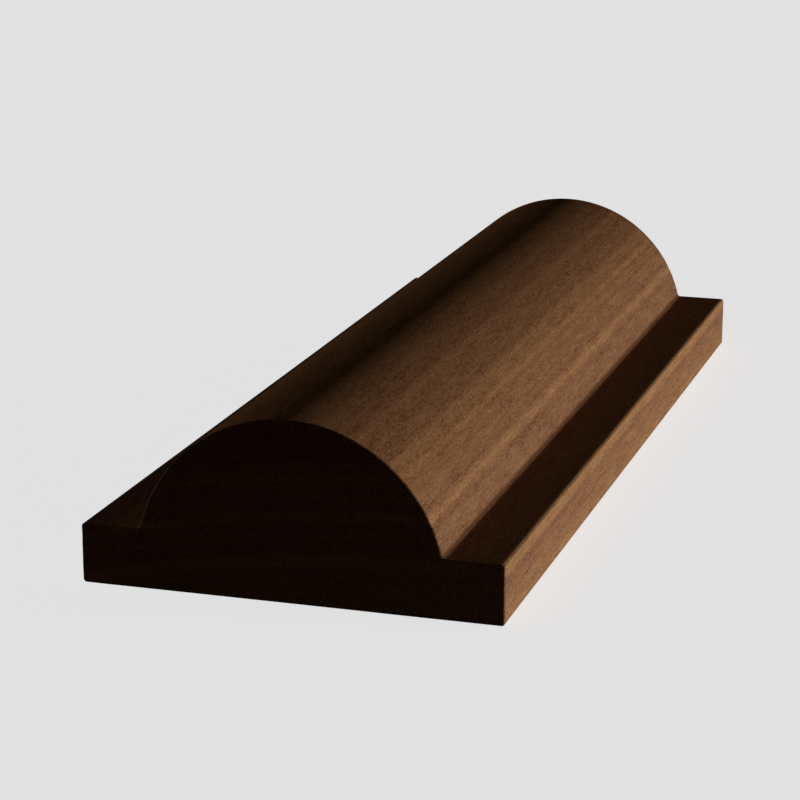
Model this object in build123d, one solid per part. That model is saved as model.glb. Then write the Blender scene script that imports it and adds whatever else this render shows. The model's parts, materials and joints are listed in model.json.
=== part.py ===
"""A short length of solid walnut moulding: a round bead on a flat base that stands out as a lip on each side.

The moulding is milled from one board, so it is one solid. It lies on its back along +Y, with +Z up through
the crown of the bead. The origin is the middle of the flat back. All sizes are in millimetres.
"""

import os

from build123d import *

# Driving dimensions
length = 185.0  # from sawn end to sawn end
bead_width = 50.0  # chord of the bead, where it stands on the base
bead_height = 20.0  # from the top of a lip to the crown of the bead
lip_width = 10.0  # from the foot of the bead to the side of the base
base_thickness = 10.0  # from the back to the top of a lip
long_edge_radius = 0.6  # round on the four long corners of the base
foot_cove_radius = 0.6  # hollow that the cutter leaves where the bead meets a lip
end_edge_break = 0.2  # flat that sanding leaves all round each sawn end

# Derived sizes
bead_half_width = bead_width / 2
base_half_width = bead_half_width + lip_width
crown_height = base_thickness + bead_height


def bead_arc():
    """The bead's round top, one arc from its right foot over its crown to its left foot."""
    right_foot = (bead_half_width, base_thickness)
    crown = (0, crown_height)
    left_foot = (-bead_half_width, base_thickness)
    return ThreePointArc(right_foot, crown, left_foot)


def base_outline():
    """The lips, sides and back of the base, from the bead's left foot round to its right foot."""
    return Polyline(
        (-bead_half_width, base_thickness),
        (-base_half_width, base_thickness),
        (-base_half_width, 0),
        (base_half_width, 0),
        (base_half_width, base_thickness),
        (bead_half_width, base_thickness),
    )


def is_foot(corner):
    """Whether a corner of the section is a foot of the bead, and not a corner of the base."""
    return abs(corner.X) < bead_half_width + lip_width / 2


def section():
    """The section that the cutters leave, with the base's corners rounded and a cove at each foot of the bead."""
    sharp = make_face(bead_arc() + base_outline())
    base_corners = [corner for corner in sharp.vertices() if not is_foot(corner)]
    rounded = fillet(base_corners, long_edge_radius)
    feet = [corner for corner in rounded.vertices() if is_foot(corner)]
    return fillet(feet, foot_cove_radius)


def moulding():
    """The section run along the moulding's length, with the sharp edge taken off both sawn ends."""
    stock = extrude(Plane.XZ * section(), amount=length / 2, both=True)
    ends = stock.faces().filter_by(Axis.Y)
    return chamfer(ends.edges(), end_edge_break)


os.makedirs("parts", exist_ok=True)
part = moulding()
export_step(part, "parts/moulding.step")
print("moulding volume", round(part.volume), "mm3, size", part.bounding_box().size)
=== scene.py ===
"""The looks of a short length of solid walnut moulding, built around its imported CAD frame.

The moulding is a round bead on a flat base that stands out as a lip on each side. It is milled from one
flat-sawn board, so its growth rings lie nearly level: they show as long stripes on the bead's flanks and on
the sides of the base, and as level lines on the sawn ends. One field of rings and fibres gives both the
colour and the fine relief. Sizes are in millimetres until a mesh, a lamp or the camera is made, and in
metres after that.
"""

from __future__ import annotations

import json
import logging
import math
from dataclasses import dataclass, field
from enum import Enum
from typing import Any, Iterable

import bpy
from mathutils import Euler, Matrix, Vector

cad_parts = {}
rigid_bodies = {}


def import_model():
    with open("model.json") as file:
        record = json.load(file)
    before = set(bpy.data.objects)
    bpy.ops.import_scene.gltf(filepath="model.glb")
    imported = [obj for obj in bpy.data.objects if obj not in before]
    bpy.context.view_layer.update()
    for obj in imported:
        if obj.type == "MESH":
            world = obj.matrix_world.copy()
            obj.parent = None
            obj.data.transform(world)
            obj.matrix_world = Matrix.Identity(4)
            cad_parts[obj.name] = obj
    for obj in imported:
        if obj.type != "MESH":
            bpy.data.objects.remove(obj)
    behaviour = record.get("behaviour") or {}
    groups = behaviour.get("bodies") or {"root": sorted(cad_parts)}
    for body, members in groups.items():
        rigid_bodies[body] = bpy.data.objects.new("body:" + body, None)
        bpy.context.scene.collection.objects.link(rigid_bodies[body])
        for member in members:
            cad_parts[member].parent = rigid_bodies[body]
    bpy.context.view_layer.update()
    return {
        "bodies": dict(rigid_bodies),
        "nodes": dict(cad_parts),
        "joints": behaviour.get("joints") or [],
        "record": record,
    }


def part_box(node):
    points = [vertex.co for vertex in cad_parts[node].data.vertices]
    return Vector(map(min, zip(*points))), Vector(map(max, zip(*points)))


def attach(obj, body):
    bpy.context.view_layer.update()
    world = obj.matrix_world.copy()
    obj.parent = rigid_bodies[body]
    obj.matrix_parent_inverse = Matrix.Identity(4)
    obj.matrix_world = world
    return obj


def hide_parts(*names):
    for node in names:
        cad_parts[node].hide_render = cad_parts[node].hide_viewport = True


log = logging.getLogger("moulding")

MM = 0.001

Colour = tuple[float, float, float, float]
Stops = tuple[tuple[float, float], ...]


class Mark(Enum):
    """The marks that the mesh carries for its finish and for its painted light and shade, by the name of the
    attribute that holds them.
    """

    END_GRAIN = "end_grain"
    # The arris mark carries a painted highlight and painted shade on the corner rounds, and the cove mark
    # painted shade in the coves.
    ARRIS = "arris"
    COVE = "cove"


class Blend(Enum):
    """How a value passes from one end of its range to the other."""

    STRAIGHT = "LINEAR"
    SOFT = "SMOOTHSTEP"


@dataclass(frozen=True)
class Wire:
    """One number or vector that flows through a node tree, with the usual arithmetic."""

    nodes: Nodes
    socket: bpy.types.NodeSocket

    def __add__(self, other: Wire | float) -> Wire:
        """Adds another number."""
        return self.nodes.math("ADD", self, other)

    def __radd__(self, other: float) -> Wire:
        """Adds to a plain number."""
        return self + other

    def __sub__(self, other: Wire | float) -> Wire:
        """Takes another number away."""
        return self.nodes.math("SUBTRACT", self, other)

    def __rsub__(self, other: float) -> Wire:
        """Takes this number away from a plain one."""
        return self.nodes.math("SUBTRACT", other, self)

    def __mul__(self, other: Wire | float) -> Wire:
        """Multiplies by another number."""
        return self.nodes.math("MULTIPLY", self, other)

    def __truediv__(self, other: Wire | float) -> Wire:
        """Divides by another number."""
        return self.nodes.math("DIVIDE", self, other)

    def clamped(self, low: float, high: float, blend: Blend = Blend.SOFT) -> Wire:
        """Maps low to 0 and high to 1, and holds it there outside them.

        Args:
            low: the value that becomes 0.
            high: the value that becomes 1.
            blend: how it passes from one to the other.

        Returns:
            The mapped number.
        """
        inputs = {"Value": self, "From Min": low, "From Max": high}
        return self.nodes.wire("ShaderNodeMapRange", inputs, interpolation_type=blend.value)


class Nodes:
    """A node tree being filled. It works alike for a material and for Geometry Nodes."""

    def __init__(self, tree: bpy.types.NodeTree) -> None:
        """Takes the tree to fill."""
        self.tree = tree

    def node(self, kind: str, inputs: dict[str | int, Any] | None = None, **settings: Any) -> bpy.types.Node:
        """Adds a node.

        Args:
            kind: the type of the node.
            inputs: a wire or a plain value for each input, by the input's name or number.
            settings: the node's own choices, such as its operation.

        Returns:
            The new node.
        """
        node = self.tree.nodes.new(kind)
        for name, value in settings.items():
            setattr(node, name, value)
        for key, value in (inputs or {}).items():
            self.feed(node.inputs[key], value)
        return node

    def feed(self, socket: bpy.types.NodeSocket, value: Any) -> None:
        """Joins a wire to an input, or sets the input to a plain value.

        Args:
            socket: the input.
            value: the wire, or the plain value.
        """
        if isinstance(value, Wire):
            self.tree.links.new(value.socket, socket)
        else:
            socket.default_value = value

    def wire(
        self, kind: str, inputs: dict[str | int, Any] | None = None, out: str | int = 0, **settings: Any
    ) -> Wire:
        """Adds a node as node() does, and returns the output of the name or number out."""
        return Wire(self, self.node(kind, inputs, **settings).outputs[out])

    def math(self, operation: str, *values: Wire | float) -> Wire:
        """Adds one step of arithmetic on numbers."""
        return self.wire("ShaderNodeMath", dict(enumerate(values)), operation=operation)

    def distance(self, x: Wire, y: Wire) -> Wire:
        """How long a line is that goes x one way and y square to it."""
        return self.math("SQRT", x * x + y * y)

    def split(self, vector: Wire) -> tuple[Wire, Wire, Wire]:
        """Splits a vector into its three numbers."""
        node = self.node("ShaderNodeSeparateXYZ", {0: vector})
        return tuple(Wire(self, output) for output in node.outputs)

    def join(self, x: Wire | float, y: Wire | float, z: Wire | float) -> Wire:
        """Makes a vector of three numbers."""
        return self.wire("ShaderNodeCombineXYZ", {0: x, 1: y, 2: z})

    def scaled(self, vector: Wire, scale: Wire | float) -> Wire:
        """Makes a vector longer or shorter."""
        return self.wire("ShaderNodeVectorMath", {0: vector, "Scale": scale}, operation="SCALE")

    def noise(self, place: Wire, detail: float = 0.0, roughness: float = 0.5) -> Wire:
        """Soft noise from 0 to 1 whose features are about one unit across.

        Args:
            place: where the noise is read.
            detail: how many finer layers are added.
            roughness: how strong the finer layers are.

        Returns:
            The noise.
        """
        inputs = {"Vector": place, "Scale": 1.0, "Detail": detail, "Roughness": roughness}
        return self.wire("ShaderNodeTexNoise", inputs)

    def ramp(self, place: Wire, stops: Iterable[tuple[float, Colour]], interpolation: str) -> Wire:
        """Reads a colour off a strip of colours.

        Args:
            place: where on the strip, from 0 to 1.
            stops: the place and the colour of each stop, in order.
            interpolation: how the colour passes from one stop to the next.

        Returns:
            The colour.
        """
        node = self.node("ShaderNodeValToRGB", {"Fac": place})
        strip = node.color_ramp
        strip.interpolation = interpolation
        stops = list(stops)
        while len(strip.elements) < len(stops):
            strip.elements.new(1.0)
        for element, (position, colour) in zip(strip.elements, stops):
            element.position = position
            element.color = colour
        return Wire(self, node.outputs[0])

    def mix_colour(self, amount: Wire | float, first: Any, second: Any, blend: str = "MIX") -> Wire:
        """Mixes two colours.

        Args:
            amount: 0 for the first colour, 1 for the second or for the full effect of the blend.
            first: the first colour, a wire or a plain value.
            second: the second colour.
            blend: how they mix.

        Returns:
            The mixed colour.
        """
        node = self.node("ShaderNodeMix", data_type="RGBA", blend_type=blend)
        for name, value in (("Factor_Float", amount), ("A_Color", first), ("B_Color", second)):
            self.feed(next(s for s in node.inputs if s.identifier == name), value)
        return Wire(self, next(s for s in node.outputs if s.identifier == "Result_Color"))


def srgb(red: int, green: int, blue: int) -> Colour:
    """A colour as a picture shows it, turned into the linear values that a material takes.

    Args:
        red: the red channel, from 0 to 255.
        green: the green channel.
        blue: the blue channel.

    Returns:
        The linear colour, with an alpha of 1.
    """

    def linear(level: int) -> float:
        """One of its channels."""
        share = level / 255
        return share / 12.92 if share <= 0.04045 else ((share + 0.055) / 1.055) ** 2.4

    return (linear(red), linear(green), linear(blue), 1.0)


@dataclass(frozen=True)
class Figure:
    """One pattern in the wood: how wide and long its features are, in mm, and its finer layers."""

    width: float
    length: float
    detail: float = 0.0
    roughness: float = 0.5


@dataclass(frozen=True)
class Fibre:
    """A place in the wood as the fibres lie, in mm: across the board, along it, up, and from the pith."""

    nodes: Nodes
    across: Wire
    along: Wire
    up: Wire
    radius: Wire

    def threads(self, width: float, length: float) -> Wire:
        """A place for noise whose features are threads of one width and length."""
        return self.nodes.join(self.across / width, self.along / length, self.up / width)

    def grown(self, figure: Figure) -> Wire:
        """Soft noise from 0 to 1, in threads along the fibres."""
        return self.nodes.noise(self.threads(figure.width, figure.length), figure.detail, figure.roughness)

    def layered(self, thickness: float, figure: Figure) -> Wire:
        """Soft noise from 0 to 1, in thin layers that follow the growth rings.

        Args:
            thickness: how thick a layer is.
            figure: how wide and long it is, and its finer layers.

        Returns:
            The noise.
        """
        along, across = self.along / figure.length, self.across / figure.width
        place = self.nodes.join(self.radius / thickness, along, across)
        return self.nodes.noise(place, figure.detail, figure.roughness)


@dataclass(frozen=True)
class Grain:
    """Where the moulding lay in its tree: the growth rings and the run of the fibres, in millimetres.

    Each ring has its radius, how light it is, and how golden, the last two from 0 to 1. The same nodes are
    laid in the material and in the mesh's own tree, so the relief follows the colour.
    """

    pith_x: float = 30.0
    pith_z: float = -250.0
    run_out_x: float = 0.0004
    run_out_z: float = -0.0006
    wander: float = 0.25
    drift_width: float = 60.0
    drift_length: float = 160.0
    lift_length: float = 170.0
    lift_shift: tuple[float, float] = (7.3, 3.1)
    ring_wave: float = 0.5
    wave_width: float = 26.0
    wave_length: float = 260.0
    # The rings from about 275 mm out lie towards the bead's crown; their low light values are partly grain
    # and partly painted shade.
    rings: tuple[tuple[float, float, float], ...] = (
        (249.0, 0.58, 0.2),
        (250.4, 0.62, 0.2),
        (251.3, 0.92, 0.6),
        (252.8, 0.81, 0.4),
        (254.6, 0.77, 0.1),
        (256.2, 0.75, 0.0),
        (257.3, 0.66, 0.0),
        (258.4, 0.91, 0.4),
        (259.2, 0.88, 0.6),
        (260.5, 0.57, 0.5),
        (261.6, 0.55, 0.2),
        (262.5, 0.65, 0.1),
        (263.4, 0.63, 0.0),
        (264.6, 0.54, 0.2),
        (266.0, 0.77, 0.6),
        (267.6, 0.50, 0.4),
        (268.6, 0.57, 0.4),
        (269.4, 0.60, 0.3),
        (270.2, 0.46, 0.7),
        (270.9, 0.61, 0.8),
        (271.6, 0.48, 0.8),
        (272.2, 0.66, 0.8),
        (273.0, 0.49, 1.0),
        (274.5, 0.52, 0.7),
        (275.2, 0.34, 0.8),
        (276.6, 0.40, 0.7),
        (277.2, 0.31, 0.9),
        (278.3, 0.42, 1.0),
        (279.1, 0.28, 1.0),
        (280.6, 0.36, 0.9),
        (282.0, 0.34, 0.9),
    )

    def fibre(self, nodes: Nodes, place: Wire) -> Fibre:
        """Follows the fibres, which run nearly along the moulding.

        Args:
            nodes: the tree that the nodes go into.
            place: the place on the moulding, in millimetres.

        Returns:
            The place as the fibres lie, with how far it is from the pith.
        """
        x, y, z = nodes.split(place)
        side, rise = x / self.drift_width, z / self.drift_width
        drift = nodes.noise(nodes.join(side, y / self.drift_length, rise), detail=1.0)
        shift_x, shift_z = self.lift_shift
        lift_place = nodes.join(side + shift_x, y / self.lift_length, rise + shift_z)
        lift = nodes.noise(lift_place, detail=1.0)
        across = x + y * self.run_out_x + (drift - 0.5) * self.wander
        up = z + y * self.run_out_z + (lift - 0.5) * self.wander
        wave_place = nodes.join(across / self.wave_width, y / self.wave_length, up / self.wave_width)
        wave = nodes.noise(wave_place, detail=1.5)
        straight = nodes.distance(across - self.pith_x, up - self.pith_z)
        return Fibre(nodes, across, y, up, straight + (wave - 0.5) * self.ring_wave)

    def ring(self, fibre: Fibre) -> tuple[Wire, Wire]:
        """Reads the growth ring that a place is in.

        Args:
            fibre: the place in the wood.

        Returns:
            How light and how golden the ring's wood is, both from 0 to 1.
        """
        nodes = fibre.nodes
        first, last = self.rings[0][0], self.rings[-1][0]
        span = last - first
        stops = [
            ((radius - first) / span, (light, golden, 0.0, 1.0))
            for radius, light, golden in self.rings
        ]
        strip = nodes.ramp((fibre.radius - first) / span, stops, "EASE")
        light, golden, _ = nodes.split(strip)
        return light, golden


@dataclass(frozen=True)
class WalnutFinish:
    """Matt walnut: golden and purple-brown stripes along the fibres, short wavy flecks, and open pores."""

    name: str = "walnut"
    pale: Colour = srgb(170, 127, 85)
    golden: Colour = srgb(154, 115, 76)
    tan: Colour = srgb(132, 95, 64)
    brown: Colour = srgb(113, 78, 51)
    dark: Colour = srgb(83, 51, 34)
    pore: Colour = srgb(59, 35, 24)
    warm_tint: Colour = (1.02, 0.99, 0.92, 1.0)
    cool_tint: Colour = (0.99, 0.98, 1.10, 1.0)
    # Darker ends: partly the end grain's own darker colour and partly painted shade.
    end_tint: Colour = (0.48, 0.42, 0.38, 1.0)
    tone_steps: tuple[float, ...] = (0.0, 0.35, 0.65, 1.0, 1.2)
    layer: Figure = Figure(7.0, 900.0, detail=3.0, roughness=0.65)
    layer_thickness: float = 1.0
    layer_depth: float = 0.3
    cloud: Figure = Figure(1.7, 7.0, detail=1.0)
    cloud_depth: float = 0.45
    strand: Figure = Figure(0.40, 6.0, detail=2.5, roughness=0.7)
    strand_depth: float = 1.0
    speck: Figure = Figure(0.2, 0.9)
    speck_depth: float = 0.9
    end_speck_depth: float = 1.2
    thread_depth: float = 0.55
    light_thread_depth: float = 0.5
    curl: Figure = Figure(0.9, 2.8, detail=1.0)
    curl_line: float = 0.06
    patch: Figure = Figure(3.0, 18.0, detail=1.0)
    patch_edge: tuple[float, float] = (0.34, 0.58)
    light_ring: tuple[float, float] = (0.56, 0.9)
    light_ring_fade: float = 0.6
    fleck_shade: float = 0.2
    pore_width: float = 0.5
    pore_length: float = 7.0
    pore_edge: tuple[float, float] = (0.08, 0.17)
    pore_shade: float = 0.45
    # How strong the painted highlight and the painted shade on the corner rounds are.
    arris_paleness: float = 0.8
    arris_darkness: float = 0.6
    # How deep the painted shade in the coves is.
    cove_darkness: float = 0.86
    tone_height: float = 0.008
    fleck_sink: float = 0.006
    pore_sink: float = 0.03
    roughness: float = 0.62
    middle_tone: float = 0.6
    tone_polish: float = 0.08
    pore_roughness: float = 0.2
    end_roughness: float = 0.18
    specular: float = 0.0

    def material(self, grain: Grain) -> bpy.types.Material:
        """Makes the material.

        Args:
            grain: the rings and fibres that the colour follows.

        Returns:
            The finished material.
        """
        material = bpy.data.materials.new(self.name)
        material.use_nodes = True
        nodes = Nodes(material.node_tree)
        nodes.tree.nodes.clear()
        place = nodes.scaled(nodes.wire("ShaderNodeTexCoord", out="Object"), 1 / MM)
        end, arris, cove = (
            nodes.wire("ShaderNodeAttribute", out="Fac", attribute_name=mark.value) for mark in Mark
        )
        fibre = grain.fibre(nodes, place)
        light, golden = grain.ring(fibre)
        flecks = self.flecks(fibre, light)
        pores = self.pores(fibre)
        tone = self.tone(fibre, light, end)
        wood = self.wood(nodes, tone - flecks * self.fleck_shade, golden, pores)
        # The colour takes ends darkened partly as painted shade, a painted highlight and painted shade on the
        # corner rounds, and painted shade in the coves.
        colour = self.weathered(nodes, wood, end, arris, cove)
        height = tone * self.tone_height - flecks * self.fleck_sink - pores * self.pore_sink
        bump = nodes.wire("ShaderNodeBump", {"Strength": 1.0, "Distance": MM, "Height": height})
        dull = self.roughness - (tone - self.middle_tone) * self.tone_polish
        dull = dull + pores * self.pore_roughness + end * self.end_roughness
        inputs = {
            "Base Color": colour,
            "Roughness": dull,
            "Normal": bump,
            "Specular IOR Level": self.specular,
        }
        shader = nodes.wire("ShaderNodeBsdfPrincipled", inputs)
        nodes.node("ShaderNodeOutputMaterial", {"Surface": shader})
        return material

    def tone(self, fibre: Fibre, light: Wire, end: Wire) -> Wire:
        """How light the wood is: the ring's own tone, thin layers in it, strands of fibre and short specks.

        Args:
            fibre: the place in the wood.
            light: how light the ring is.
            end: 1 on a sawn end, where the specks show more.

        Returns:
            The tone, from 0 to a little over 1.
        """
        layers = fibre.layered(self.layer_thickness, self.layer)
        clouds, strands, specks = (fibre.grown(figure) for figure in (self.cloud, self.strand, self.speck))
        broad = (layers - 0.5) * self.layer_depth + (clouds - 0.5) * light * self.cloud_depth
        speck_depth = self.speck_depth + end * self.end_speck_depth
        fine = (strands - 0.5) * self.strand_depth + (specks - 0.5) * speck_depth
        return light + broad + fine * (self.thread_depth + light * self.light_thread_depth)

    def flecks(self, fibre: Fibre, light: Wire) -> Wire:
        """Short wavy flecks, which gather in the darker rings.

        Args:
            fibre: the place in the wood.
            light: how light the ring is.

        Returns:
            1 inside a fleck, and 0 away from them.
        """
        from_line = fibre.nodes.math("ABSOLUTE", fibre.grown(self.curl) - 0.5)
        line = 1.0 - from_line.clamped(0.0, self.curl_line)
        patch = fibre.grown(self.patch).clamped(*self.patch_edge)
        return line * patch * (1.0 - light.clamped(*self.light_ring) * self.light_ring_fade)

    def pores(self, fibre: Fibre) -> Wire:
        """Open pores: thin dashes along the fibres, and dots on the ends.

        Args:
            fibre: the place in the wood.

        Returns:
            1 inside a pore, and 0 away from them.
        """
        inputs = {"Vector": fibre.threads(self.pore_width, self.pore_length), "Scale": 1.0}
        distance = fibre.nodes.wire("ShaderNodeTexVoronoi", inputs, out="Distance")
        return 1.0 - distance.clamped(*self.pore_edge)

    def wood(self, nodes: Nodes, tone: Wire, golden: Wire, pores: Wire) -> Wire:
        """The colour of the freshly oiled wood, before it has been handled.

        Args:
            nodes: the tree that the nodes go into.
            tone: how light the wood is.
            golden: its hue, from 0 for pinkish to 1 for golden.
            pores: 1 inside a pore.

        Returns:
            The colour.
        """
        lightest = self.tone_steps[-1]
        colours = (self.dark, self.brown, self.tan, self.golden, self.pale)
        stops = [(step / lightest, colour) for step, colour in zip(self.tone_steps, colours)]
        wood = nodes.ramp(tone / lightest, stops, "LINEAR")
        tint = nodes.mix_colour(golden, self.cool_tint, self.warm_tint)
        wood = nodes.mix_colour(1.0, wood, tint, blend="MULTIPLY")
        return nodes.mix_colour(pores * self.pore_shade, wood, self.pore)

    def weathered(self, nodes: Nodes, wood: Wire, end: Wire, arris: Wire, cove: Wire) -> Wire:
        """The wood's colour with darker ends, partly as painted shade, and painted highlight and shade on its
        rounds and coves.

        Args:
            nodes: the tree that the nodes go into.
            wood: the colour of the fresh wood.
            end: 1 on a sawn end, whose open fibres take in more oil and turn darker, and which is darkened
                further as painted shade.
            arris: 1 where a corner's round takes a painted highlight, and -1 where it takes painted shade.
            cove: 1 where the painted shade in a cove is darkest.

        Returns:
            The colour.
        """
        # Painted highlight and painted shade on the corner rounds, painted shade in the coves, and ends
        # darkened partly as painted shade.
        arris_highlight_share = nodes.math("MAXIMUM", arris, 0.0)
        arris_shade_share = nodes.math("MAXIMUM", arris * -1.0, 0.0)
        wood = nodes.mix_colour(arris_highlight_share * self.arris_paleness, wood, self.pale)
        wood = nodes.mix_colour(arris_shade_share * self.arris_darkness, wood, self.dark)
        wood = nodes.mix_colour(cove * self.cove_darkness, wood, self.dark)
        return nodes.mix_colour(end, wood, self.end_tint, blend="MULTIPLY")


@dataclass
class Moulding:
    """The length of moulding: its section in millimetres, how finely it is meshed, its relief and its painted
    light.

    The painted highlight and shade on a base corner's round run from the top or back of the base, at 0, round
    to its side, at 1. The painted shade in a cove runs from the bead, at 0, down to the lip, at 1. The weld
    is in metres, and the crease in radians.
    """

    length: float
    base_width: float
    base_thickness: float
    height: float
    lip_width: float
    corner_radius: float = 0.6
    cove_radius: float = 0.6
    end_break: float = 0.2
    surface_step: float = 0.45
    side_step: float = 0.55
    length_step: float = 1.12
    bow_fade: int = 24
    round_steps: int = 3
    weld: float = 1e-6
    crease: float = 0.5
    ring_relief: float = 0.035
    early_wood: tuple[float, float] = (0.45, 0.8)
    end_fade: tuple[float, float] = (0.2, 0.8)
    saw_relief: float = 0.03
    saw_pitch: float = 1.3
    saw_seed: float = 0.0
    saw_detail: float = 2.0
    blade_radius: float = 125.0
    blade_x: float = 40.0
    tolerance: float = 0.02
    # Painted highlight (above 0) and painted shade (below 0) across a corner's round; the paleness stands
    # partly for rubbing.
    wear: Stops = ((0.0, 0.0), (0.17, 0.5), (0.33, 0.2), (0.5, -0.5), (0.67, 0.6), (0.83, 0.8), (1.0, 0.2))
    # Painted shade across a cove, from the bead at 0 down to the lip at 1.
    grime: Stops = ((0.0, 0.5), (0.17, 0.8), (0.33, 1.0), (0.5, 0.85), (0.67, 0.45), (0.83, 0.05), (1.0, 0.0))
    grain: Grain = field(default_factory=Grain)
    finish: WalnutFinish = field(default_factory=WalnutFinish)

    @classmethod
    def from_frame(cls, frame: dict[str, Any]) -> Moulding:
        """Reads the moulding's main sizes from the CAD model's box and from its lip mount.


        Returns:
            A moulding of those sizes.
        """
        low, high = (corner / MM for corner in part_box("moulding"))
        lip = next(mount for mount in frame["record"]["mounts"] if mount["name"] == "right_lip")
        lip_middle, _, lip_top = (value / MM for value in lip["pos_m"])
        return cls(
            length=high.y - low.y,
            base_width=high.x - low.x,
            base_thickness=lip_top,
            height=high.z,
            lip_width=2 * (high.x - lip_middle),
        )

    @property
    def bead_half_width(self) -> float:
        """Half of the bead's chord."""
        return self.base_width / 2 - self.lip_width

    @property
    def bead_radius(self) -> float:
        """The radius of the arc through the bead's feet and crown."""
        rise = self.height - self.base_thickness
        return (self.bead_half_width**2 + rise**2) / (2 * rise)

    @property
    def bead_centre(self) -> Vector:
        """The centre of the bead's arc."""
        return Vector((0.0, self.height - self.bead_radius))

    @property
    def cove_centre(self) -> Vector:
        """The centre of the right-hand cove, which touches the bead's arc and the lip."""
        up = self.base_thickness + self.cove_radius
        reach = self.bead_radius + self.cove_radius
        return Vector((math.sqrt(reach**2 - (up - self.bead_centre.y) ** 2), up))

    def top_edge(self, inset: float) -> list[Vector]:
        """The section's top from the middle of one base corner's round to the other's, left to right.

        Args:
            inset: how far inside the real outline the points lie.

        Returns:
            Points across the section, x across and y up.
        """
        bead, cove = self.bead_centre, self.cove_centre
        foot_angle = math.atan2(cove.x - bead.x, cove.y - bead.y)
        bead_steps = round(self.bead_radius * foot_angle / self.surface_step)
        right = arc_points(bead, self.bead_radius - inset, 0.0, foot_angle, bead_steps)
        cove_start = foot_angle + math.pi
        right += arc_points(cove, self.cove_radius + inset, cove_start, math.pi, 2 * self.round_steps)[1:]
        corner_x = self.base_width / 2 - self.corner_radius
        lip_steps = round((corner_x - cove.x) / self.surface_step)
        lip_start = right[-1]
        lip_end = Vector((corner_x, self.base_thickness - inset))
        right += [lip_start.lerp(lip_end, step / lip_steps) for step in range(1, lip_steps + 1)]
        right += self.corner_points(inset, 0.0, math.pi / 4, top=True)[1:]
        left = [Vector((-point.x, point.y)) for point in reversed(right[1:])]
        return left + right

    def corner_points(self, inset: float, start: float, end: float, top: bool) -> list[Vector]:
        """Half of the round on a right-hand corner of the base.

        Args:
            inset: how far inside the real outline the points lie.
            start: the angle of the first point, clockwise from straight up.
            end: the angle of the last point.
            top: whether it is the upper corner.

        Returns:
            Points along the round.
        """
        centre_y = self.base_thickness - self.corner_radius if top else self.corner_radius
        centre = Vector((self.base_width / 2 - self.corner_radius, centre_y))
        return arc_points(centre, self.corner_radius - inset, start, end, self.round_steps)

    def right_edge(self, inset: float) -> list[Vector]:
        """The section's right side, from the middle of the lower corner's round to that of the upper's.

        Args:
            inset: how far inside the real outline the points lie.

        Returns:
            Points from the back up to the top.
        """
        lower = self.corner_points(inset, math.pi * 3 / 4, math.pi / 2, top=False)
        upper = self.corner_points(inset, math.pi / 2, math.pi / 4, top=True)
        steps = round((self.base_thickness - 2 * self.corner_radius) / self.side_step)
        flat = [lower[-1].lerp(upper[0], step / steps) for step in range(1, steps)]
        return lower + flat + upper

    def back_edge(self, inset: float, top: list[Vector]) -> list[Vector]:
        """The flat back, with each point under one of the top's.

        Args:
            inset: how far inside the real outline the points lie.
            top: the points of the top.

        Returns:
            Points from left to right.
        """
        corner = self.corner_points(inset, math.pi * 3 / 4, math.pi, top=False)
        flat_top = top[self.round_steps : -self.round_steps]
        stretch = corner[-1].x / flat_top[-1].x
        flat = [Vector((point.x * stretch, inset)) for point in flat_top]
        right = list(reversed(corner[:-1]))
        left = [Vector((-point.x, point.y)) for point in corner[:-1]]
        return left + flat + right

    def end_mesh(self) -> bpy.types.Mesh:
        """A sawn end as a grid of quads with the sharp edge taken off all round, x across, y up and z inward.

        Returns:
            The mesh, in metres, with its outward side facing down z.
        """
        grid = self.patch(self.end_break)
        rim = outline_of(self.patch(0.0))
        columns, rows = len(grid), len(grid[0])
        vertices = [(*point, 0.0) for column in grid for point in column]
        vertices += [(*point, self.end_break) for point in rim]
        index = [[column * rows + row for row in range(rows)] for column in range(columns)]
        faces = [
            (index[c][r], index[c][r + 1], index[c + 1][r + 1], index[c + 1][r])
            for c in range(columns - 1)
            for r in range(rows - 1)
        ]
        inner = outline_of(index)
        first = columns * rows
        for k, corner in enumerate(inner):
            after = (k + 1) % len(inner)
            faces.append((corner, inner[after], first + after, first + k))
        mesh = bpy.data.meshes.new("sawn_end")
        mesh.from_pydata([tuple(value * MM for value in vertex) for vertex in vertices], [], faces)
        # The corner rounds carry a mark for painted highlight and shade, and the coves one for painted shade.
        for mark, strength in ((Mark.ARRIS, self.arris_wear), (Mark.COVE, self.cove_grime)):
            values = mesh.attributes.new(mark.value, "FLOAT", "POINT").data
            values.foreach_set("value", [strength(x, y) for x, y, _ in vertices])
        return mesh

    def arris_wear(self, x: float, y: float) -> float:
        """Light painted on a base corner's round: paler on its outer half, partly as rubbing and partly as a
        painted highlight, with a fine painted line of shade along its middle.

        Args:
            x: a point's place across the section.
            y: its height.

        Returns:
            1 where it is rubbed pale, -1 where it is dark, and 0 away from the rounds.
        """
        middle = self.base_thickness / 2
        beyond_x = abs(x) - (self.base_width / 2 - self.corner_radius)
        beyond_y = abs(y - middle) - (middle - self.corner_radius)
        if min(beyond_x, beyond_y) < -self.tolerance:
            return 0.0
        return read_off(self.wear, math.atan2(beyond_x, beyond_y) / (math.pi / 2))

    def cove_grime(self, x: float, y: float) -> float:
        """Painted shade in the cove at a foot of the bead, darkest just under the bead.

        Args:
            x: a point's place across the section.
            y: its height.

        Returns:
            1 where it is darkest, and 0 away from the coves.
        """
        centre, bead = self.cove_centre, self.bead_centre
        aside, down = centre.x - abs(x), centre.y - y
        reach = self.cove_radius + self.end_break + self.tolerance
        if min(aside, down) < -self.tolerance or math.hypot(aside, down) > reach:
            return 0.0
        foot_angle = math.atan2(centre.x - bead.x, centre.y - bead.y)
        return read_off(self.grime, 1.0 - math.atan2(aside, down) / foot_angle)

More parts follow.
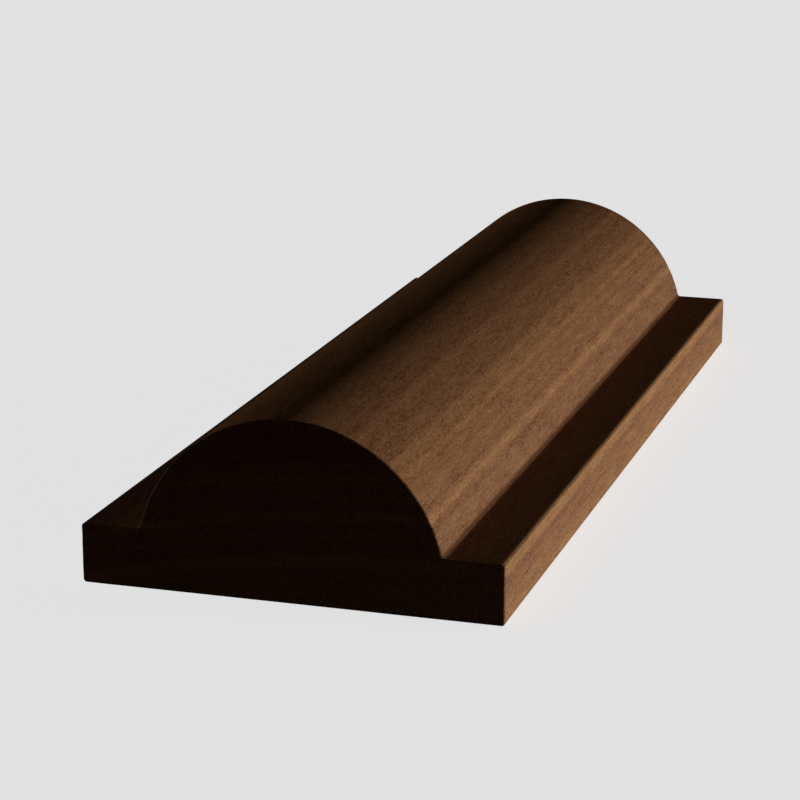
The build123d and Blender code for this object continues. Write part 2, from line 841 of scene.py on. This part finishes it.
    def patch(self, inset: float) -> list[list[Vector]]:
        """Fills the section with upright columns of points, which bow out to its sides near those only.

        Args:
            inset: how far inside the real outline the patch's own edge lies.

        Returns:
            Columns from left to right, each from the back to the top.
        """
        top = self.top_edge(inset)
        back = self.back_edge(inset, top)
        right = self.right_edge(inset)
        rows = len(right) - 1
        bows = [point - right[0].lerp(right[-1], row / rows) for row, point in enumerate(right)]
        patch = []
        for c, (low, high) in enumerate(zip(back, top)):
            share = c / (len(top) - 1)
            to_left, to_right = (1 - share) ** self.bow_fade, share**self.bow_fade
            patch.append([
                low.lerp(high, row / rows)
                + Vector((bow.x * (to_right - to_left), bow.y * (to_right + to_left)))
                for row, bow in enumerate(bows)
            ])
        return patch

    def build(self) -> bpy.types.Object:
        """Runs the section along the moulding's length, presses in the relief and dresses it.

        Returns:
            The finished piece, at the origin.
        """
        end = bpy.data.objects.new("moulding_end", self.end_mesh())
        bpy.context.scene.collection.objects.link(end)
        modifier = end.modifiers.new("mill", "NODES")
        modifier.node_group = self.milling_tree()
        settings = {
            "Length": self.length * MM,
            "End break": self.end_break * MM,
            "Sections": round(self.length / self.length_step) + 1,
            "Ring relief": self.ring_relief * MM,
            "Saw relief": self.saw_relief * MM,
            "Saw pitch": self.saw_pitch,
            "Saw seed": self.saw_seed,
            "Blade radius": self.blade_radius,
            "Finish": self.finish.material(self.grain),
        }
        sockets = {item.name: item.identifier for item in modifier.node_group.interface.items_tree}
        for name, value in settings.items():
            modifier[sockets[name]] = value
        end.update_tag()
        graph = bpy.context.evaluated_depsgraph_get()
        mesh = bpy.data.meshes.new_from_object(end.evaluated_get(graph))
        end.modifiers.remove(modifier)
        bpy.data.objects.remove(end)
        piece = bpy.data.objects.new("walnut_moulding", mesh)
        bpy.context.scene.collection.objects.link(piece)
        return piece

    def milling_tree(self) -> bpy.types.NodeTree:
        """The Geometry Nodes that make the whole piece from one sawn end.

        Returns:
            The tree, with its sizes as named inputs.
        """
        tree = bpy.data.node_groups.new("milled_length", "GeometryNodeTree")
        face = tree.interface
        face.new_socket("Geometry", in_out="INPUT", socket_type="NodeSocketGeometry")
        sizes = ("Length", "End break", "Ring relief", "Saw relief", "Saw pitch", "Saw seed", "Blade radius")
        for name in sizes:
            face.new_socket(name, in_out="INPUT", socket_type="NodeSocketFloat")
        face.new_socket("Sections", in_out="INPUT", socket_type="NodeSocketInt")
        face.new_socket("Finish", in_out="INPUT", socket_type="NodeSocketMaterial")
        face.new_socket("Geometry", in_out="OUTPUT", socket_type="NodeSocketGeometry")
        nodes = Nodes(tree)
        given = nodes.node("NodeGroupInput")
        sizes = {output.name: Wire(nodes, output) for output in given.outputs if output.name}
        solid = self.close_solid(nodes, sizes)
        solid = self.mark_ends(nodes, solid, sizes)
        solid = self.press_relief(nodes, solid, sizes)
        solid = self.soften_shading(nodes, solid)
        whole = nodes.wire("GeometryNodeRealizeInstances", {"Geometry": solid})
        dressed = nodes.wire("GeometryNodeSetMaterial", {"Geometry": whole, "Material": sizes["Finish"]})
        nodes.node("NodeGroupOutput", {"Geometry": dressed})
        return tree

    def close_solid(self, nodes: Nodes, sizes: dict[str, Wire]) -> Wire:
        """Runs the end's outline along the length and closes it with a sawn end at each side.

        Args:
            nodes: the tree that the nodes go into.
            sizes: the tree's inputs, by name.

        Returns:
            The closed solid, lying on its back.
        """
        rim = nodes.wire("GeometryNodeInputMeshEdgeNeighbors")
        open_edge = nodes.wire(
            "FunctionNodeCompare", {"A": rim, "B": 1.0}, data_type="FLOAT", operation="EQUAL"
        )
        end = sizes["Geometry"]
        outline = nodes.wire("GeometryNodeMeshToCurve", {"Mesh": end, "Selection": open_edge})
        run = nodes.join(0.0, 0.0, sizes["Length"] - sizes["End break"] * 2.0)
        path = nodes.wire("GeometryNodeCurvePrimitiveLine", {"Start": (0, 0, 0), "End": run})
        path = nodes.wire("GeometryNodeResampleCurve", {"Curve": path, "Count": sizes["Sections"]})
        walls = nodes.wire("GeometryNodeCurveToMesh", {"Curve": path, "Profile Curve": outline})
        turn_over = {
            "Geometry": end,
            "Translation": nodes.join(0.0, 0.0, sizes["Length"]),
            "Rotation": (0.0, math.pi, 0.0),
        }
        far = nodes.wire("GeometryNodeTransform", turn_over)
        join = nodes.node("GeometryNodeJoinGeometry")
        for part in (walls, end, far):
            nodes.tree.links.new(part.socket, join.inputs[0])
        joined = Wire(nodes, join.outputs[0])
        merged = nodes.wire("GeometryNodeMergeByDistance", {"Geometry": joined, "Distance": self.weld})
        lay_down = {
            "Geometry": merged,
            "Translation": nodes.join(0.0, sizes["Length"] / 2.0, 0.0),
            "Rotation": (math.pi / 2, 0.0, 0.0),
        }
        return nodes.wire("GeometryNodeTransform", lay_down)

    def mark_ends(self, nodes: Nodes, solid: Wire, sizes: dict[str, Wire]) -> Wire:
        """Marks the points of both sawn faces, so that the finish knows them as end grain.

        Args:
            nodes: the tree that the nodes go into.
            solid: the closed solid.
            sizes: the tree's inputs, by name.

        Returns:
            The marked solid.
        """
        _, along, _ = nodes.split(nodes.wire("GeometryNodeInputPosition"))
        from_end = sizes["Length"] / 2.0 - nodes.math("ABSOLUTE", along)
        on_end = 1.0 - (from_end / sizes["End break"]).clamped(*self.end_fade, Blend.STRAIGHT)
        store = {"Geometry": solid, "Name": Mark.END_GRAIN.value, "Value": on_end}
        return nodes.wire("GeometryNodeStoreNamedAttribute", store, data_type="FLOAT", domain="POINT")

    def press_relief(self, nodes: Nodes, solid: Wire, sizes: dict[str, Wire]) -> Wire:
        """Sinks the softer early wood a little below the late wood, and cuts the saw's arcs into the ends.

        Args:
            nodes: the tree that the nodes go into.
            solid: the solid, with its ends marked.
            sizes: the tree's inputs, by name.

        Returns:
            The solid with its relief.
        """
        place = nodes.scaled(nodes.wire("GeometryNodeInputPosition"), 1 / MM)
        light, _ = self.grain.ring(self.grain.fibre(nodes, place))
        early = light.clamped(*self.early_wood)
        x, _, z = nodes.split(place)
        reach = nodes.distance(x - self.blade_x, z + sizes["Blade radius"] - self.height / 2)
        tooth_place = nodes.join(reach / sizes["Saw pitch"], sizes["Saw seed"], 0.0)
        tooth = nodes.noise(tooth_place, detail=self.saw_detail)
        end = nodes.wire(
            "GeometryNodeInputNamedAttribute", {"Name": Mark.END_GRAIN.value}, data_type="FLOAT"
        )
        depth = early * sizes["Ring relief"] * (1.0 - end) + tooth * sizes["Saw relief"] * end
        inward = nodes.scaled(nodes.wire("GeometryNodeInputNormal"), depth * -1.0)
        return nodes.wire("GeometryNodeSetPosition", {"Geometry": solid, "Offset": inward})

    def soften_shading(self, nodes: Nodes, solid: Wire) -> Wire:
        """Shades the rounds smoothly and keeps the edges of the sawn ends crisp.

        Args:
            nodes: the tree that the nodes go into.
            solid: the solid with its relief.

        Returns:
            The solid, shaded.
        """
        smooth = nodes.wire(
            "GeometryNodeSetShadeSmooth", {"Geometry": solid, "Shade Smooth": True}, domain="FACE"
        )
        bend = nodes.wire("GeometryNodeInputMeshEdgeAngle", out="Unsigned Angle")
        gentle = nodes.wire(
            "FunctionNodeCompare", {"A": bend, "B": self.crease}, data_type="FLOAT", operation="LESS_THAN"
        )
        return nodes.wire(
            "GeometryNodeSetShadeSmooth", {"Geometry": smooth, "Shade Smooth": gentle}, domain="EDGE"
        )


def arc_points(centre: Vector, radius: float, start: float, end: float, steps: int) -> list[Vector]:
    """Points along an arc.

    Args:
        centre: the arc's centre.
        radius: its radius.
        start: the angle of its first point, clockwise from straight up.
        end: the angle of its last point.
        steps: how many equal steps it is cut into.

    Returns:
        One more point than there are steps.
    """
    angles = [start + (end - start) * step / steps for step in range(steps + 1)]
    return [centre + radius * Vector((math.sin(angle), math.cos(angle))) for angle in angles]


def read_off(stops: Stops, place: float) -> float:
    """Reads a value off the straight lines between stops.

    Args:
        stops: places in rising order, each with its value.
        place: where to read.

    Returns:
        The value there, or that of the nearest stop outside them.
    """
    for (low, first), (high, second) in zip(stops, stops[1:]):
        if place <= high:
            return first + (second - first) * max(place - low, 0.0) / (high - low)
    return stops[-1][1]


def outline_of(grid: list[list[Any]]) -> list[Any]:
    """Goes once round the edge of a grid: along the back, up the right, along the top and down the left.

    Args:
        grid: its columns from left to right, each from the back to the top.

    Returns:
        The items on its edge, each once.
    """
    back = [column[0] for column in grid]
    top = [column[-1] for column in grid]
    return back + grid[-1][1:-1] + top[::-1] + grid[0][-2:0:-1]


@dataclass(frozen=True)
class Lamp:
    """A far soft lamp: its power, its height over the floor, its turn from the right, and how soft it is."""

    name: str
    power: float
    height: float
    turn: float
    softness: float

    def hang(self) -> None:
        """Adds the lamp to the scene."""
        data = bpy.data.lights.new(self.name, "SUN")
        data.energy = self.power
        data.angle = math.radians(self.softness)
        lamp = bpy.data.objects.new(self.name, data)
        lamp.rotation_euler = Euler((0.0, math.radians(90 - self.height), math.radians(self.turn)))
        bpy.context.scene.collection.objects.link(lamp)


@dataclass(frozen=True)
class Studio:
    """The camera of the photograph, with its places in mm, a pale floor, soft lamps and an even fill."""

    eye: tuple[float, float, float] = (130.97, -462.33, 141.61)
    aim: tuple[float, float, float] = (-1.2, -29.04, 16.36)
    roll: float = math.radians(-0.098)
    focal_length: float = 119.19
    sensor: float = 36.0
    clip_start: float = 0.01
    backdrop: Colour = srgb(225, 225, 225)
    key: Lamp = Lamp("key", power=3.9, height=0.7, turn=14.0, softness=3.5)
    left: Lamp = Lamp("left_fill", power=1.2, height=1.0, turn=168.0, softness=12.0)
    fill: float = 0.15
    fill_falloff: float = 2.0
    floor_half: float = 4.0
    floor_albedo: float = 0.5
    floor_glow: float = 0.733

    def hang_camera(self) -> None:
        """Sets up the camera as the photograph was taken."""
        data = bpy.data.cameras.new("camera")
        data.lens = self.focal_length
        data.sensor_width = self.sensor
        data.clip_start = self.clip_start
        camera = bpy.data.objects.new("camera", data)
        bpy.context.scene.collection.objects.link(camera)
        eye = Vector(self.eye) * MM
        look = Vector(self.aim) * MM - eye
        turn = look.to_track_quat("-Z", "Y").to_matrix() @ Matrix.Rotation(-self.roll, 3, "Z")
        camera.matrix_world = Matrix.Translation(eye) @ turn.to_4x4()
        bpy.context.scene.camera = camera

    def sees_backdrop(self, nodes: Nodes) -> Wire:
        """Tells the rays that show the plain background from the rays that only carry the fill.

        Args:
            nodes: the tree that the nodes go into.

        Returns:
            1 for a ray straight from the camera, off a gloss or through glass, and 0 for any other.
        """
        path = nodes.node("ShaderNodeLightPath")
        camera, glossy, glass = (
            Wire(nodes, path.outputs[name])
            for name in ("Is Camera Ray", "Is Glossy Ray", "Is Transmission Ray")
        )
        return nodes.math("MAXIMUM", camera, nodes.math("MAXIMUM", glossy, glass))

    def light(self) -> None:
        """Hangs the lamps and sets the even fill, behind which the camera sees the plain backdrop."""
        self.key.hang()
        self.left.hang()
        world = bpy.data.worlds.new("studio")
        world.use_nodes = True
        nodes = Nodes(world.node_tree)
        nodes.tree.nodes.clear()
        _, _, height = nodes.split(nodes.wire("ShaderNodeTexCoord", out="Generated"))
        level = nodes.math("POWER", 1.0 - nodes.math("ABSOLUTE", height), self.fill_falloff) * self.fill
        colour = nodes.mix_colour(self.sees_backdrop(nodes), level, self.backdrop)
        background = nodes.wire("ShaderNodeBackground", {"Color": colour, "Strength": 1.0})
        nodes.node("ShaderNodeOutputWorld", {"Surface": background})
        bpy.context.scene.world = world

    def lay_floor(self) -> bpy.types.Object:
        """Lays the pale floor, which keeps the moulding's shadow.

        Returns:
            The floor.
        """
        half = self.floor_half
        corners = [(-half, -half, 0), (half, -half, 0), (half, half, 0), (-half, half, 0)]
        mesh = bpy.data.meshes.new("floor")
        mesh.from_pydata(corners, [], [(0, 1, 2, 3)])
        material = bpy.data.materials.new("floor")
        material.use_nodes = True
        nodes = Nodes(material.node_tree)
        nodes.tree.nodes.clear()
        plain = (self.floor_albedo, self.floor_albedo, self.floor_albedo, 1.0)
        diffuse = nodes.wire("ShaderNodeBsdfDiffuse", {"Color": plain})
        level = self.sees_backdrop(nodes) * self.floor_glow
        glow = nodes.wire("ShaderNodeEmission", {"Color": (1, 1, 1, 1), "Strength": level})
        both = nodes.wire("ShaderNodeAddShader", {0: diffuse, 1: glow})
        nodes.node("ShaderNodeOutputMaterial", {"Surface": both})
        mesh.materials.append(material)
        floor = bpy.data.objects.new("floor", mesh)
        bpy.context.scene.collection.objects.link(floor)
        return floor


def main() -> None:
    """Loads the frame, builds the moulding and the studio, and reports each piece."""
    logging.basicConfig(level=logging.INFO, format="%(message)s")
    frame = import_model()
    moulding = Moulding.from_frame(frame)
    piece = moulding.build()
    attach(piece, "root")
    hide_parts("moulding")
    log.info("%s: %d faces, %.1f mm long", piece.name, len(piece.data.polygons), moulding.length)
    studio = Studio()
    studio.hang_camera()
    studio.light()
    studio.lay_floor()
    bpy.context.scene.view_settings.view_transform = "Standard"


if __name__ == "__main__":
    main()
